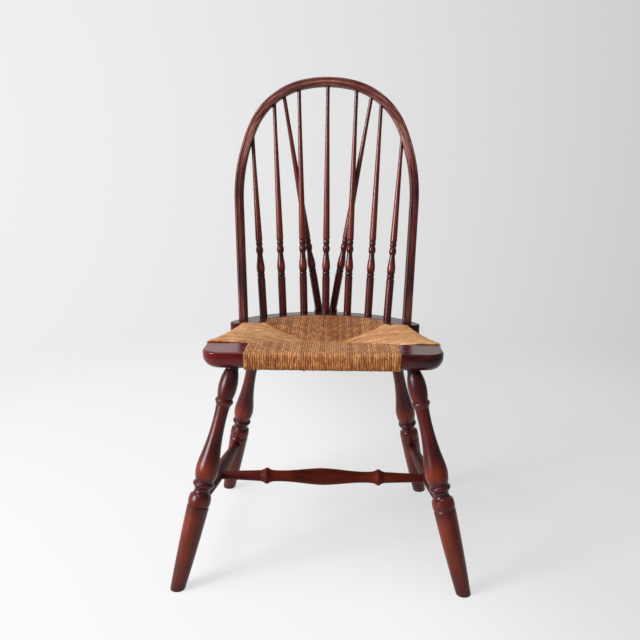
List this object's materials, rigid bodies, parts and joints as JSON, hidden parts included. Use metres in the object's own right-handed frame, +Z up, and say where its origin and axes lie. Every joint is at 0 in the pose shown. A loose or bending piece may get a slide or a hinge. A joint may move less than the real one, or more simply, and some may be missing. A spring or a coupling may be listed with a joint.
{
  "type": "windsor chair",
  "caption": "Brace-back windsor side chair with a bent bow, turned spindles, splayed turned legs, stretchers and a woven rush seat.",
  "frame": {"origin": "on the floor, in the middle of the chair's bounding box", "axes": "+Z up, the sitter faces -Y, +X to the right as seen from the front"},
  "size_m": [0.5624, 0.524, 0.9596],
  "materials": {
    "turned_wood": "gloss varnish over red mahogany stain",
    "bent_bow_wood": "satin varnish over brown-red stain, rubbed near the feet",
    "seat_frame_wood": "gloss varnish over dark red stain",
    "bare_rail_wood": "bare planed wood",
    "woven_rush": "twisted rush cord, dry and matt"
  },
  "bodies": {
    "root": {"bow": "bent_bow_wood", "brace_left": "turned_wood", "brace_right": "turned_wood", "cross_stretcher": "turned_wood", "front_seat_rail": "seat_frame_wood", "leg_front_left": "turned_wood", "leg_front_right": "turned_wood", "leg_rear_left": "turned_wood", "leg_rear_right": "turned_wood", "rear_seat_rail": "seat_frame_wood", "rush_seat": "woven_rush", "side_seat_rail_left": "bare_rail_wood", "side_seat_rail_right": "bare_rail_wood", "side_stretcher_left": "turned_wood", "side_stretcher_right": "turned_wood", "spindle_1": "turned_wood", "spindle_2": "turned_wood", "spindle_3": "turned_wood", "spindle_4": "turned_wood", "spindle_5": "turned_wood", "spindle_6": "turned_wood", "spindle_7": "turned_wood", "tail_block": "seat_frame_wood"}
  },
  "joints": []
}
